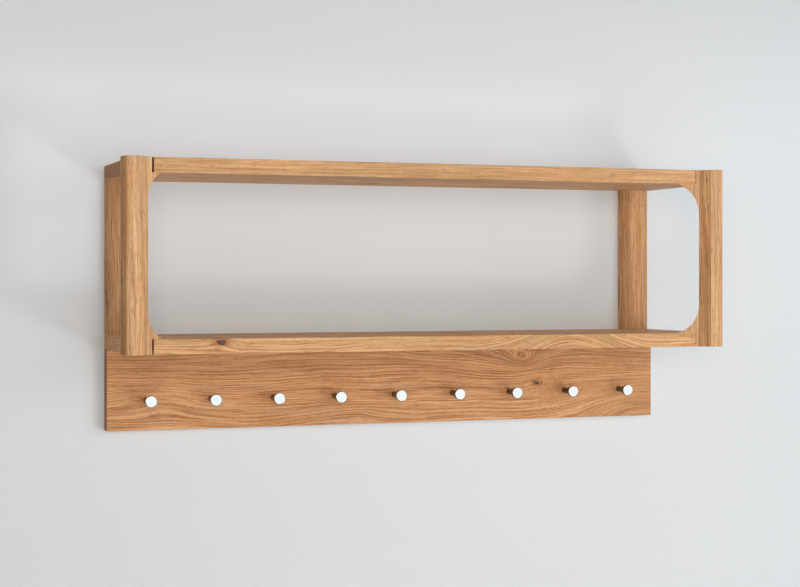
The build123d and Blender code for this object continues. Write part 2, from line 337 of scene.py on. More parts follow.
def grain_space(tree, turn):
    """Returns a place and a normal for which the grain runs along x, and the normal as it was."""
    coord = tree.nodes.new("ShaderNodeTexCoord")
    place = add(tree, "Mapping", coord.outputs["Object"])
    facing = add(tree, "Mapping", coord.outputs["Normal"], vector_type="NORMAL")
    for made in (place, facing):
        made.inputs["Rotation"].default_value = turn
    return place.outputs[0], facing.outputs[0], coord.outputs["Normal"]


def branch(centre, size, tilt=0.0, height=0.0, core=0.0, burl=0.0, dark=0.0):
    """Describes a knot: its centre and size in metres, and how much darker it makes the rings."""
    stretch = [1.0 / length for length in size]
    inputs = {"Centre": centre, "Stretch": stretch, "Tilt": tilt}
    inputs.update(Height=height, Core=core, Burl=burl)
    return inputs, dark


def with_knots(tree, spot, knots):
    """Adds up the knots of a board: the bump, the cores, the halos and the depth of the lines."""
    swell, core, halo, crowd = 0.0, 0.0, 0.0, 1.0
    for inputs, dark in knots:
        bump = use(tree, knot, Vector=spot, **inputs)
        swell = plus(tree, swell, bump["Swell"])
        crowd = plus(tree, crowd, times(tree, bump["Near"], dark))
        if inputs["Core"]:
            core = calc(tree, "MAXIMUM", core, bump["Core"])
            halo = calc(tree, "MAXIMUM", halo, bump["Halo"])
    return swell, core, halo, crowd


print("grain along x for level boards, turned by", round(math.degrees(UPRIGHT[1])), "degrees for posts")

# %% [markdown]
# ### The colour of a long face
# Light and warm fibres are the ground, and the late wood darkens them. Each year and each stretch of the
# board has its own tone, pores are specks of brown, and rays are a pale shimmer. The layers are mixed in
# the order in which they lie, so each stays a number or two that can be changed by itself.

# %% Oak: the layers of a long face
PALE = (0.730, 0.440, 0.232, 1.0)
WARM = (0.610, 0.325, 0.152, 1.0)
LATE = (0.340, 0.145, 0.052, 1.0)
PORE = (0.200, 0.088, 0.038, 1.0)
SILK = (0.72, 0.50, 0.31, 1.0)
STREAK_RANGE = (0.38, 0.62)
LEAST_YEAR = 0.93  # the tone of the darkest year
YEAR_DIFFERENCE = 0.10
TONE_RANGE = (0.3, 0.7, 0.90, 1.08)
PORE_DEPTH = 0.55
SILK_DEPTH = 0.12


def long_face(tree, grown, fine, line_depth, tint):
    """Mixes fibres, late wood, tone, pores and rays into one colour."""
    fibre = blend(tree, spread(tree, fine["Streaks"], *STREAK_RANGE), PALE, WARM)
    aged = blend(tree, times(tree, grown["Line"], line_depth), fibre, LATE)
    year = plus(tree, LEAST_YEAR, times(tree, grown["Year"], YEAR_DIFFERENCE))
    tone = times(tree, year, spread(tree, fine["Tone"], *TONE_RANGE))
    tinted = vec(tree, "MULTIPLY", scaled(tree, aged, tone), tint)[0]
    pitted = blend(tree, times(tree, fine["Pores"], PORE_DEPTH), tinted, PORE)
    return blend(tree, times(tree, fine["Rays"], SILK_DEPTH), pitted, SILK)


print("the palest fibre is", PALE[:3], "and the late wood", LATE[:3])

# %% [markdown]
# ### Cut ends, knots and bounced light
# Where the surface faces along the grain it takes an end tone, since cut ends soak up oil and most of
# them turn darker and greyer. The heart of a knot is nearly black and mottled. Light that bounces off the
# wood takes a paler, greyer colour than the camera sees: with the full colour the wall inside the frame
# would turn pink. The light path tells the two apart, so it stays in the material.

# %% Oak: ends, knots and bounced light
END_GREY = (0.65, 0.55, 0.51, 1.0)
END_RANGE = (0.75, 0.97)
LEFT_SHADE_RANGE = (0.45, 0.95)
HALO = (0.62, 0.45, 0.40, 1.0)
BARK = (0.050, 0.028, 0.024, 1.0)
HEART = (0.150, 0.105, 0.105, 1.0)
MOTTLE_WAVES = 420.0
MOTTLE_RANGE = (0.42, 0.58)
HALO_DEPTH = 0.75
CORE_DEPTH = 0.92
BOUNCE = (0.68, 0.58, 0.49, 1.0)  # the colour of light off the wood
BOUNCE_DEPTH = 0.70


def facing_tone(tree, wood, towards, limits, tone):
    """Multiplies a tone into the wood where towards, from 0 to 1, passes the limits."""
    return blend(tree, spread(tree, towards, *limits), wood, tone, "MULTIPLY")


def with_hearts(tree, wood, spot, core, halo):
    """Lays the red-brown halos and the mottled hearts of the knots over the wood."""
    wood = blend(tree, times(tree, halo, HALO_DEPTH), wood, HALO, "MULTIPLY")
    mottle = spread(tree, noise(tree, spot, MOTTLE_WAVES), *MOTTLE_RANGE)
    return blend(tree, times(tree, core, CORE_DEPTH), wood, blend(tree, mottle, BARK, HEART))


def with_bounce(tree, wood):
    """Greys the wood for the light that it throws on its surroundings."""
    bounced = tree.nodes.new("ShaderNodeLightPath").outputs["Is Diffuse Ray"]
    return blend(tree, times(tree, bounced, BOUNCE_DEPTH), wood, BOUNCE)


print("cut ends are multiplied by", END_GREY[:3])

# %% [markdown]
# ### One oak material per board
# The function puts the layers together. A board can have painted shade on the side that faces left, a
# darker tone that stands in for the shade there, and its rings are darker where a knot crowds them. The
# oil leaves a faint sheen that the open pores break. Pores and late wood give the surface a relief of less
# than a tenth of a millimetre. Real geometry would be far too heavy for that, so a bump bends the normal
# instead.

# %% Oak: the whole material
TREE_STEP = (3.17, 1.31, 2.03)  # from one board's place in the tree to the next
LINE_RELIEF = 0.35  # how far late wood stands up, against the depth of a pore
OIL_ROUGHNESS = 0.52
PORE_ROUGHNESS = 0.25
OIL_SHEEN = 0.08


def relief(tree, height, strength, distance):
    """Turns a height into a normal."""
    made = add(tree, "Bump")
    join(tree, made.inputs["Height"], height)
    made.inputs["Strength"].default_value = strength
    made.inputs["Distance"].default_value = distance
    return made.outputs[0]


def oak(
    name,
    turn,
    seed,
    pith,
    lean,
    ring_width,
    wander=0.012,
    tint=(1.0, 1.0, 1.0),
    line_depth=0.75,
    knots=(),
    end_tone=END_GREY,
    painted_left_shade=None,
):
    """Makes the oak of one board."""
    made = bpy.data.materials.new(name)
    made.use_nodes = True
    tree = made.node_tree
    tree.nodes.clear()
    spot, along_grain, normal = grain_space(tree, turn)
    swell, core, halo, crowd = with_knots(tree, spot, knots)
    shift = [seed * step for step in TREE_STEP]
    start = [p + q - shift[0] * r for p, q, r in zip(pith, shift, lean)]
    moved = vec(tree, "ADD", spot, shift)[0]
    cut = {"Vector": moved, "Pith": start, "Lean": lean, "Ring_Width": ring_width}
    grown = use(tree, rings, Wander=wander, Swell=swell, **cut)
    fine = use(tree, pores, Flow=grown["Flow"], Line=grown["Line"])

    wood = long_face(tree, grown, fine, times(tree, crowd, line_depth), tint)
    endwise = calc(tree, "ABSOLUTE", axes(tree, along_grain)[0])
    wood = facing_tone(tree, wood, endwise, END_RANGE, end_tone)
    # painted shade: the side that faces left is darkened to stand in for the shade it falls in
    if painted_left_shade:
        leftward = times(tree, axes(tree, normal)[0], -1.0)
        wood = facing_tone(tree, wood, leftward, LEFT_SHADE_RANGE, painted_left_shade)
    if knots:
        wood = with_hearts(tree, wood, spot, core, halo)

    height = plus(tree, times(tree, fine["Pores"], -1.0), times(tree, grown["Line"], LINE_RELIEF))
    roughness = plus(tree, OIL_ROUGHNESS, times(tree, fine["Pores"], PORE_ROUGHNESS))
    skin = add(tree, "BsdfPrincipled")
    join(tree, skin.inputs["Base Color"], with_bounce(tree, wood))
    join(tree, skin.inputs["Roughness"], roughness)
    join(tree, skin.inputs["Normal"], relief(tree, height, strength=0.25, distance=0.00015))
    skin.inputs["Specular IOR Level"].default_value = OIL_SHEEN
    join(tree, add(tree, "OutputMaterial").inputs[0], skin.outputs[0])
    return made


print("one pore dulls the oil from", OIL_ROUGHNESS, "to", OIL_ROUGHNESS + PORE_ROUGHNESS)

# %% [markdown]
# ## The boards' own wood
# The rail is flat-sawn, so its face shows arches and wavy lines round a knot. The pith lies well behind
# and above it. Every knot of the list is a smooth bump with a size along x, y and z. Most have no core and
# only bend the rings, which costs little and is what makes a board look grown.

# %% Oak of the rail
RAIL_FACE = -0.023
boards = {}
boards["peg_rail"] = oak(
    "oak of the peg rail",
    turn=LEVEL,
    seed=1.0,
    pith=(0.0, 0.12, 0.30),
    lean=(0.0, 0.0, -0.012),
    ring_width=0.0042,
    wander=0.016,
    tint=(0.945, 0.853, 0.803),
    line_depth=1.0,
    knots=[
        # a knot, the burl beside it and the lines that crowd above them
        branch((0.261, RAIL_FACE, -0.003), (0.026, 0.03, 0.014), height=0.006, core=0.24, dark=0.3),
        branch((0.290, RAIL_FACE, -0.016), (0.024, 0.03, 0.022), burl=0.050, dark=0.3),
        branch((0.236, RAIL_FACE, 0.040), (0.028, 0.03, 0.015), height=-0.022, burl=0.003, dark=0.6),
        branch((0.200, RAIL_FACE, 0.050), (0.080, 0.03, 0.040), height=-0.020, burl=0.002, dark=0.4),
        # the arches at the right end
        branch((0.462, RAIL_FACE, -0.056), (0.115, 0.05, 0.052), height=0.056),
        # slow waves along the rest
        branch((-0.400, RAIL_FACE, -0.020), (0.070, 0.04, 0.026), tilt=-0.10, height=0.012),
        branch((-0.060, RAIL_FACE, -0.045), (0.090, 0.04, 0.016), tilt=0.05, height=0.010, dark=0.1),
        branch((0.060, RAIL_FACE, 0.050), (0.070, 0.04, 0.014), tilt=-0.15, height=-0.010, dark=0.3),
    ],
)
print("made", boards["peg_rail"].name)

# %% [markdown]
# ### The two shelves
# The upper shelf shows a straight-grained edge, the lower one a knot and domes of rings. A small lean
# and little wander give the straight lines. Wider rings and one broad, tall bump give the domes.

# %% Oak of the shelves
SHELF_FACE = -0.234
boards["top_shelf"] = oak(
    "oak of the upper shelf",
    turn=LEVEL,
    seed=2.0,
    pith=(0.0, -0.12, 0.75),
    lean=(0.0, 0.0, 0.006),
    ring_width=0.0040,
    wander=0.010,
    tint=(0.975, 0.965, 0.945),
    line_depth=0.45,
)
boards["bottom_shelf"] = oak(
    "oak of the lower shelf",
    turn=LEVEL,
    seed=3.0,
    pith=(0.0, -0.10, 0.45),
    lean=(0.0, 0.0, -0.01),
    ring_width=0.0066,
    wander=0.018,
    tint=(1.03, 1.02, 0.99),
    line_depth=0.62,
    knots=[
        branch((-0.350, SHELF_FACE, 0.082), (0.024, 0.02, 0.012), height=0.006, core=0.34, dark=0.2),
        branch((0.225, SHELF_FACE, 0.076), (0.085, 0.05, 0.10), height=0.046, dark=0.9),
    ],
    end_tone=(0.98, 0.90, 0.85, 1.0),
)
print("boards with oak so far:", len(boards))

# %% [markdown]
# ### Posts and corner blocks
# These stand upright, so their grain is turned. Their piths lie about a metre off, near the other end of
# the shelf, so their rings are nearly straight lines. The front posts are pale and fine-grained, and their
# side that faces left is darkened with painted shade, for the shade it falls in.

# %% Oak of the posts and blocks
for side, sign, seed in (("left", -1, 4.0), ("right", 1, 5.0)):
    boards["front_" + side + "_post"] = oak(
        "oak of the front " + side + " post",
        turn=UPRIGHT,
        seed=seed,
        pith=(0.0, -0.30, sign * 0.52),
        lean=(0.0, 0.02, 0.02),
        ring_width=0.0034,
        wander=0.006,
        tint=(1.06, 1.09, 1.12),
        # painted shade on the side that faces left
        painted_left_shade=(0.92, 0.80, 0.66, 1.0),
    )
    boards["rear_" + side + "_post"] = oak(
        "oak of the rear " + side + " post",
        turn=UPRIGHT,
        seed=seed + 2.0,
        pith=(0.0, 0.02, sign * 0.40),
        lean=(0.0, 0.05, 0.02),
        ring_width=0.0042,
        wander=0.014,
        tint=(0.95, 0.895, 0.875),
    )
    for level, step in (("upper", 4.0), ("lower", 5.0)):
        boards[level + "_" + side + "_block"] = oak(
            "oak of the " + level + " " + side + " block",
            turn=UPRIGHT,
            seed=seed + step,
            pith=(0.0, -0.25, sign * 0.40),
            lean=(0.0, 0.03, 0.02),
            ring_width=0.0036,
            wander=0.006,
            tint=(0.98, 0.97, 0.96),
        )
print("boards with oak:", len(boards))

# %% [markdown]
# ### Sanded arrises
# A joiner runs sandpaper along every edge that a hand can touch, so a real arris is a tiny round that
# catches a line of light. The solids have that round only along the fronts of the boards. A copy of each
# solid gets it on its other open edges too: the loose triangles are merged, the ones in one plane become
# one face, and the sharp edges that aren't a glued seam are bevelled. The copy then stands for the solid.
# A bevel modifier would be quicker, but it would round the glued seams as well.

# %% Helpers: merge a solid and round its edges
SHARP = math.radians(50)  # an edge with a turn above this is an arris
SANDED = 0.0009
FLAT = math.radians(0.5)
SAME_SPOT = 2e-6  # corners closer than this are merged after a cut
TINY = 1e-6


def merged(name):
    """Copies a solid, merges its loose triangles and joins the ones that lie in one plane."""
    bm = bmesh.new()
    bm.from_mesh(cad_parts[name].data)
    bmesh.ops.remove_doubles(bm, verts=bm.verts, dist=TINY)
    bmesh.ops.dissolve_limit(bm, angle_limit=FLAT, verts=bm.verts, edges=bm.edges)
    return bm


def bevelled(bm, edges, radius, segments):
    """Rounds the edges. All the bevels of the lesson go through here."""
    bmesh.ops.bevel(
        bm, geom=edges, offset=radius, segments=segments, profile=0.5, affect="EDGES", material=-1
    )


def round_off(bm, radius, keep, segments=3):
    """Bevels the sharp edges whose middle keep() lets through, and counts them."""
    sharp = [e for e in bm.edges if e.calc_face_angle(0.0) > SHARP]
    sharp = [e for e in sharp if keep((e.verts[0].co + e.verts[1].co) / 2)]
    bevelled(bm, sharp, radius, segments)
    bmesh.ops.remove_doubles(bm, verts=bm.verts, dist=SAME_SPOT)
    return len(sharp)


print("edges that turn by more than", round(math.degrees(SHARP)), "degrees are sanded")

# %% [markdown]
# Every new piece goes the same way into the scene. It is shaded smooth between its sharp edges, and
# weighted normals keep the large faces flat beside their narrow rounds.

# %% Helper: put a piece in its place
SMOOTH_BELOW = math.radians(28)


def finished(bm, name, finish, slot, *nodes):
    """Makes a piece that stands for the named solids."""
    mesh = bpy.data.meshes.new(name)
    bm.to_mesh(mesh)
    bm.free()
    for face in mesh.polygons:
        face.use_smooth = True
    mesh.set_sharp_from_angle(angle=SMOOTH_BELOW)
    mesh.materials.append(finish)
    piece = bpy.data.objects.new(name, mesh)
    bpy.context.scene.collection.objects.link(piece)
    even_normals = piece.modifiers.new("even normals", "WEIGHTED_NORMAL")
    even_normals.keep_sharp = True
    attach(piece, "root")
    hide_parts(*nodes)
    return piece


print("faces that meet below", round(math.degrees(SMOOTH_BELOW)), "degrees are shaded as one")

# %% [markdown]
# ### Shelves and rail
# The shelves are open at their ends and along the upper back edge. The rail is open all round but for
# its top, which is glued, and so are the pockets in its back. Fronts already have their round. Edges are
# picked by where their middle lies in the board's box, since a list of edge numbers would break with the
# next change of the solid.

# %% Sand the shelves and the rail
NOTCH_BACK = -0.2165  # the notches for the front posts lie in front of this y
NEAR_END = 0.0005
NEAR_FACE = 0.001


def sand(name, slot, keep, radius=SANDED):
    """Rounds the edges of a board whose middle keep() lets through, and puts it in its place."""
    bm = merged(name)
    count = round_off(bm, radius, keep)
    piece = finished(bm, "sanded_" + name, boards[name], slot, name)
    print(piece.name, "rounded edges:", count, "faces:", len(piece.data.polygons))


def open_shelf_edge(name):
    """Returns the test for a shelf: its two ends and its upper back edge."""
    low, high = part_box(name)

    def keep(spot):
        at_end = abs(spot.x) > high.x - NEAR_END
        at_upper_back = spot.y > -NEAR_FACE and spot.z > high.z - NEAR_FACE
        return spot.y > NOTCH_BACK and (at_end or at_upper_back)

    return keep


for name in ("top_shelf", "bottom_shelf"):
    sand(name, "oak_shelf", open_shelf_edge(name))
rail_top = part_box("peg_rail")[1].z
sand("peg_rail", "oak_rail", lambda spot: spot.z < rail_top - NEAR_FACE)

# %% [markdown]
# ### Posts
# The front posts stand in the notches of the shelves and end flush above and below. Only the outline of
# those two ends is sanded, and only in front of the notches, since the rest of it is a glued seam. The
# rear posts are flat boards against the wall. Their front arrises are round in the solid, and their ends
# are glued, which leaves the two upright edges at the wall.

# %% Sand the posts
LIGHTLY_SANDED = 0.0008
AT_END = 1e-4


def open_front_edge(name):
    """Returns the test for a front post: the outline of its ends, in front of the notches."""
    low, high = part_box(name)
    return lambda spot: spot.y < NOTCH_BACK and min(abs(spot.z - low.z), abs(spot.z - high.z)) < AT_END


def open_rear_edge(name):
    """Returns the test for a rear post: its two upright edges at the wall."""
    low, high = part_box(name)
    return lambda spot: spot.y > -NEAR_END and min(spot.x - low.x, high.x - spot.x) < NEAR_END


for side in ("left", "right"):
    name = "front_" + side + "_post"
    sand(name, "oak_post", open_front_edge(name), LIGHTLY_SANDED)
    name = "rear_" + side + "_post"
    sand(name, "oak_post", open_rear_edge(name))

# %% [markdown]
# ### Corner blocks
# The blocks carry the curve of the opening over to the shelves. All their edges are glued seams or the
# crisp line of the opening, so the solids stay as they are and only take the oak.

# %% Dress the corner blocks
def dress(name, finish):
    """Gives a solid that stays its material."""
    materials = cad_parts[name].data.materials
    materials.clear()
    materials.append(finish)


blocks = [name for name in boards if name.endswith("_block")]
for name in blocks:
    dress(name, boards[name])
print("blocks dressed:", len(blocks))

# %% [markdown]
# ## Metal
# The pegs are turned from bar and polished, and the hardware is zinc plated. Both are bare metal, so the
# colour is low and the room does the rest. The turned sides are painted darker than the flat faces, a
# painted shade for the dim, shaded wood that they mirror, and a mask of the normal's y gives it. A fine
# noise smears the polish, and a stretched one leaves the faint lines of the lathe.

# %% Materials: polished peg and zinc
FLAT_RANGE = (0.80, 0.97)
SMEAR_WAVES = 160.0
SMEAR_RANGE = (0.35, 0.7)
SMEAR_ROUGHNESS = 1.7  # how much rougher the smears are
LINE_WAVES = 9.0


def turned_metal(name, colour, shaded_side_colour, roughness, turning):
    made = bpy.data.materials.new(name)
    made.use_nodes = True
    tree = made.node_tree
    coord = tree.nodes.new("ShaderNodeTexCoord")
    spot = coord.outputs["Object"]
    flatness = calc(tree, "ABSOLUTE", axes(tree, coord.outputs["Normal"])[1])
    # painted shade: the turned sides are darker than the flat faces, for the dim wood they mirror
    shade = blend(tree, spread(tree, flatness, *FLAT_RANGE), shaded_side_colour, colour)
    smear = noise(tree, spot, SMEAR_WAVES, detail=3.0)
    polish = spread(tree, smear, *SMEAR_RANGE, roughness, roughness * SMEAR_ROUGHNESS)
    line = noise(tree, spot, LINE_WAVES, stretch=(1.0, turning, 1.0))
    skin = tree.nodes["Principled BSDF"]
    skin.inputs["Metallic"].default_value = 1.0
    join(tree, skin.inputs["Base Color"], shade)
    join(tree, skin.inputs["Roughness"], polish)
    join(tree, skin.inputs["Normal"], relief(tree, line, strength=0.06, distance=0.00005))
    return made


peg_metal = turned_metal(
    "polished peg",
    colour=(0.355, 0.35, 0.34, 1.0),
    # painted shade on the turned neck and rims
    shaded_side_colour=(0.14, 0.13, 0.12, 1.0),
    roughness=0.08,
    turning=900.0,
)
zinc = turned_metal(
    "zinc plated steel",
    colour=(0.55, 0.56, 0.57, 1.0),
    shaded_side_colour=(0.50, 0.51, 0.53, 1.0),
    roughness=0.32,
    turning=60.0,
)
print("metals:", peg_metal.name, "and", zinc.name)

# %% [markdown]
# ## Turned pegs
# A lathe cuts a half profile all round, and spin does the same: six points give the slim neck and the
# wider head, and a full turn closes them. Cylinders set end to end would leave inner walls where they
# meet, while a spun profile is one closed skin.

# %% Helpers: turn a profile and find its circles
def centre_of(name):
    """Returns the x and z of the axis of a turned piece."""
    low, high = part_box(name)
    return (low.x + high.x) / 2, (low.z + high.z) / 2


def turned(profile, x, z, steps=64):
    """Spins points of radius and y round an axis along y through x and z."""
    bm = bmesh.new()
    points = [bm.verts.new((x + radius, y, z)) for radius, y in profile]
    line = [bm.edges.new(pair) for pair in zip(points, points[1:])]
    bmesh.ops.spin(
        bm,
        geom=points + line,
        cent=(x, 0.0, z),
        axis=(0.0, 1.0, 0.0),
        angle=math.tau,
        steps=steps,
        use_merge=True,
    )
    bmesh.ops.remove_doubles(bm, verts=bm.verts, dist=SAME_SPOT)
    bmesh.ops.recalc_face_normals(bm, faces=bm.faces)
    return bm


def circle(bm, x, z, radius, y):
    """Finds the edges of one circle of a turned piece."""
    found = set()
    for vert in bm.verts:
        off_radius = abs(math.hypot(vert.co.x - x, vert.co.z - z) - radius)
        if off_radius < TINY and abs(vert.co.y - y) < TINY:
            found.add(vert)
    return [e for e in bm.edges if e.verts[0] in found and e.verts[1] in found]


print("the axis of the first peg is at x and z", [round(v, 4) for v in centre_of("peg_1")])

# %% [markdown]
# The rims of the head are then bevelled to a round, as a file leaves them, and the inner corner gets the
# fillet of the tool's nose. Knife edges would catch no light, and the pegs would look cut out.

# %% Spin nine pegs
PEGS = range(1, 10)
NECK = 0.00525
HEAD = 0.0095
FACE = -0.059  # how far the pegs stand out
BACK_OF_HEAD = -0.054
RIM_ROUND = 0.001
NECK_FILLET = 0.0007
PEG_PROFILE = [
    (0.0, RAIL_FACE),
    (NECK, RAIL_FACE),
    (NECK, BACK_OF_HEAD),
    (HEAD, BACK_OF_HEAD),
    (HEAD, FACE),
    (0.0, FACE),
]

for number in PEGS:
    x, z = centre_of("peg_%d" % number)
    bm = turned(PEG_PROFILE, x, z)
    rims = circle(bm, x, z, HEAD, FACE) + circle(bm, x, z, HEAD, BACK_OF_HEAD)
    bevelled(bm, rims, RIM_ROUND, segments=5)
    bevelled(bm, circle(bm, x, z, NECK, BACK_OF_HEAD), NECK_FILLET, segments=3)
    piece = finished(bm, "turned_peg_%d" % number, peg_metal, "peg_metal", "peg_%d" % number)
print("pegs turned, faces each:", len(piece.data.polygons))

# %% [markdown]
# ## Screws
# From behind, the pegs show the heads of their screws in pockets, and the keyhole plates are held by
# countersunk ones. A screw is turned too. Its cross recess starts as a grid: planes cut the flat top, and
# the faces of the cross are pushed in and drawn together, as the punch does. A boolean would do it as
# well, but it leaves the rest of the top in less tidy faces. The threads are hidden in the wood and left
# plain.

# %% Helpers: the cross recess of a screw
CROSS_ARM = 0.0016
CROSS_HALF_WIDTH = 0.00045
CROSS_DEPTH = 0.0013
CROSS_FLOOR = 0.55  # how wide the floor is against the opening
ON_TOP = 1e-7


def score(screw, x, z, top):
    """Cuts the flat top along the outlines of the cross."""
    for cut in (-CROSS_ARM, -CROSS_HALF_WIDTH, CROSS_HALF_WIDTH, CROSS_ARM):
        for across in ((1.0, 0.0, 0.0), (0.0, 0.0, 1.0)):
            flat = [f for f in screw.faces if all(abs(v.co.y - top) < ON_TOP for v in f.verts)]
            flat += list({e for f in flat for e in f.edges}) + list({v for f in flat for v in f.verts})
            spot = (x + cut * across[0], 0.0, z + cut * across[2])
            bmesh.ops.bisect_plane(screw, geom=flat, plane_co=spot, plane_no=across, dist=SAME_SPOT)


def punch(screw, x, z, top):
    """Pushes the faces of the cross in and draws their floor together."""
    sunk = []
    for face in screw.faces:
        middle = face.calc_center_median()
        near, far = sorted((abs(middle.x - x), abs(middle.z - z)))
        if abs(middle.y - top) < ON_TOP and near < CROSS_HALF_WIDTH and far < CROSS_ARM:
            sunk.append(face)
    made = bmesh.ops.extrude_face_region(screw, geom=sunk)
    bmesh.ops.delete(screw, geom=sunk, context="FACES")
    floor = [v for v in made["geom"] if isinstance(v, bmesh.types.BMVert)]
    bmesh.ops.translate(screw, verts=floor, vec=(0.0, -CROSS_DEPTH, 0.0))
    for vert in floor:
        vert.co.x = x + (vert.co.x - x) * CROSS_FLOOR
        vert.co.z = z + (vert.co.z - z) * CROSS_FLOOR
    bmesh.ops.recalc_face_normals(screw, faces=screw.faces)


def add_screw(bm, profile, x, z, rim_round=0.0):
    """Turns one screw, punches its cross and adds it to bm. Its profile starts at the top of the head."""
    top = profile[0][1]
    rim = profile[1][0]
    screw = turned(profile, x, z, steps=32)
    if rim_round:
        bevelled(screw, circle(screw, x, z, rim, top), rim_round, segments=4)
    score(screw, x, z, top)
    punch(screw, x, z, top)
    part = bpy.data.meshes.new("screw part")
    screw.to_mesh(part)
    screw.free()
    bm.from_mesh(part)
    bpy.data.meshes.remove(part)


print("a cross is", round(2000 * CROSS_ARM, 2), "mm wide and", round(1000 * CROSS_DEPTH, 2), "mm deep")

# %% [markdown]
# The screws of the pegs have low round heads, so their rims get a wide bevel. Those of the plates are
# cones that end flush, which the profile gives by itself. Each kind is one piece, as in model.glb.

# %% Cut the screws
PEG_SCREW = [
    (0.0, -0.002),
    (0.004, -0.002),
    (0.004, -0.005),
    (0.002, -0.005),
    (0.002, -0.0305),
    (0.0, -0.031),
]
PLATE_SCREW = [(0.0, 0.0), (0.00325, 0.0), (0.00175, -0.0015), (0.00175, -0.0135), (0.0, -0.016)]
FROM_PLATE_CENTRE = 0.024

bm = bmesh.new()
for number in PEGS:
    add_screw(bm, PEG_SCREW, *centre_of("peg_%d" % number), rim_round=0.0009)
piece = finished(bm, "cross_head_peg_screws", zinc, "zinc_steel", "peg_screws")
print(piece.name, "faces:", len(piece.data.polygons))

bm = bmesh.new()
for side in ("left", "right"):
    x, z = centre_of("hanger_" + side)
    for step in (-FROM_PLATE_CENTRE, FROM_PLATE_CENTRE):
        add_screw(bm, PLATE_SCREW, x, z + step)
piece = finished(bm, "countersunk_plate_screws", zinc, "zinc_steel", "hanger_screws")
print(piece.name, "faces:", len(piece.data.polygons))

# %% [markdown]
# ### Keyhole plates
# The shelf hangs by two keyhole plates in the backs of the rear posts. They are stamped from sheet, and a
# stamp leaves the outline a little round on one side. The plates keep their solids' outline, and only the
# edges at the surface are rounded.

# %% Press the keyhole plates
STAMPED = 0.00025
AT_SURFACE = 0.0001
for side in ("left", "right"):
    bm = merged("hanger_" + side)
    count = round_off(bm, STAMPED, lambda spot: spot.y > -AT_SURFACE, segments=2)
    piece = finished(bm, "pressed_hanger_" + side, zinc, "zinc_steel", "hanger_" + side)
    print(piece.name, "rounded edges:", count)

# %% [markdown]
# ### Dowels
# Beech dowels hold the boards together. Nobody sees them in the finished shelf, so the solids stay, in a
# paler, plainer wood than the oak.

# %% Dress the dowels
beech = oak(
    "beech dowel",
    turn=UPRIGHT,
    seed=11.0,
    pith=(0.0, 0.2, 0.1),
    lean=(0.0, 0.01, 0.01),
    ring_width=0.004,
    wander=0.004,
    tint=(1.05, 1.1, 1.2),
    line_depth=0.25,
)
for name in ("rear_post_dowels", "front_post_dowels", "rail_dowels"):
    dress(name, beech)
print("dowels dressed in", beech.name)

# %% [markdown]
# ## The room
# A pale wall carries the shelf, and a floor runs out from its foot. Far from the shelf, where the lamps
# don't reach, the camera sees wall and floor fade into the pale background. From behind, the wall lets
# the view and the light through, so that the back of the shelf can be looked at as well. A ray that
# starts on the back of the shelf meets the wall after a millimetre or two, so very short rays pass too.
# Hiding the wall in some views would do the same, but then the views would differ.

# %% Wall paint
PALE_GREY = (0.80, 0.81, 0.83, 1.0)
SHELF_CENTRE = (0.0, 0.0, 0.10)
SHORT_RAY = 0.006
FADE_DISTANCES = (1.15, 2.1)

wall_paint = bpy.data.materials.new("wall paint")
wall_paint.use_nodes = True
tree = wall_paint.node_tree
skin = tree.nodes["Principled BSDF"]
skin.inputs["Base Color"].default_value = (0.716, 0.727, 0.745, 1.0)
skin.inputs["Roughness"].default_value = 0.85
skin.inputs["Specular IOR Level"].default_value = 0.2
path = tree.nodes.new("ShaderNodeLightPath").outputs
spot = tree.nodes.new("ShaderNodeTexCoord").outputs["Object"]
far = vec(tree, "DISTANCE", spot, SHELF_CENTRE)[1]
fade = times(tree, spread(tree, far, *FADE_DISTANCES), path["Is Camera Ray"])
haze = add(tree, "Emission", PALE_GREY, 1.0)
faded = add(tree, "MixShader", fade, skin.outputs[0], haze.outputs[0])
print("the wall fades out", FADE_DISTANCES[0], "to", FADE_DISTANCES[1], "m from the shelf")

# %% Wall paint: let rays through from behind
clear = tree.nodes.new("ShaderNodeBsdfTransparent")
behind = tree.nodes.new("ShaderNodeNewGeometry").outputs["Backfacing"]
close = calc(tree, "LESS_THAN", path["Ray Length"], SHORT_RAY)
see_through = calc(tree, "MAXIMUM", behind, close)
either = add(tree, "MixShader", see_through, faded.outputs[0], clear.outputs[0])
join(tree, tree.nodes["Material Output"].inputs[0], either.outputs[0])
print("rays shorter than", SHORT_RAY, "m pass the wall")

# %% [markdown]
# The wall and the floor are one sheet: three points are pulled sideways into two faces, and the bend
# between them is bevelled to a wide round. A plane for each would show a hard line where they meet. The
# sheet faces the shelf, since its back is the side that lets rays through.

# %% Wall and floor
WALL_Y = 0.0015  # just behind the shelf's back
WALL_TOP = 3.0
FLOOR_Z = -1.3
FLOOR_FRONT = -5.0
HALF_ROOM = 4.0
BEND = 0.35

bm = bmesh.new()
outline = ((FLOOR_FRONT, FLOOR_Z), (WALL_Y, FLOOR_Z), (WALL_Y, WALL_TOP))
corners = [bm.verts.new((-HALF_ROOM, y, z)) for y, z in outline]
edges = [bm.edges.new(pair) for pair in zip(corners, corners[1:])]
grown = bmesh.ops.extrude_edge_only(bm, edges=edges)
moved = [v for v in grown["geom"] if isinstance(v, bmesh.types.BMVert)]
bmesh.ops.translate(bm, verts=moved, vec=(2 * HALF_ROOM, 0.0, 0.0))
bevelled(bm, [e for e in bm.edges if len(e.link_faces) == 2], BEND, segments=12)
bmesh.ops.recalc_face_normals(bm, faces=bm.faces)
wall = max(bm.faces, key=lambda f: f.calc_center_median().z)
if wall.normal.y > 0:
    bmesh.ops.reverse_faces(bm, faces=bm.faces)
sheet = bpy.data.meshes.new("wall and floor")
bm.to_mesh(sheet)
bm.free()
for face in sheet.polygons:
    face.use_smooth = True
sheet.materials.append(wall_paint)
room = bpy.data.objects.new("wall_and_floor", sheet)
bpy.context.scene.collection.objects.link(room)
print("room made, faces:", len(sheet.polygons))

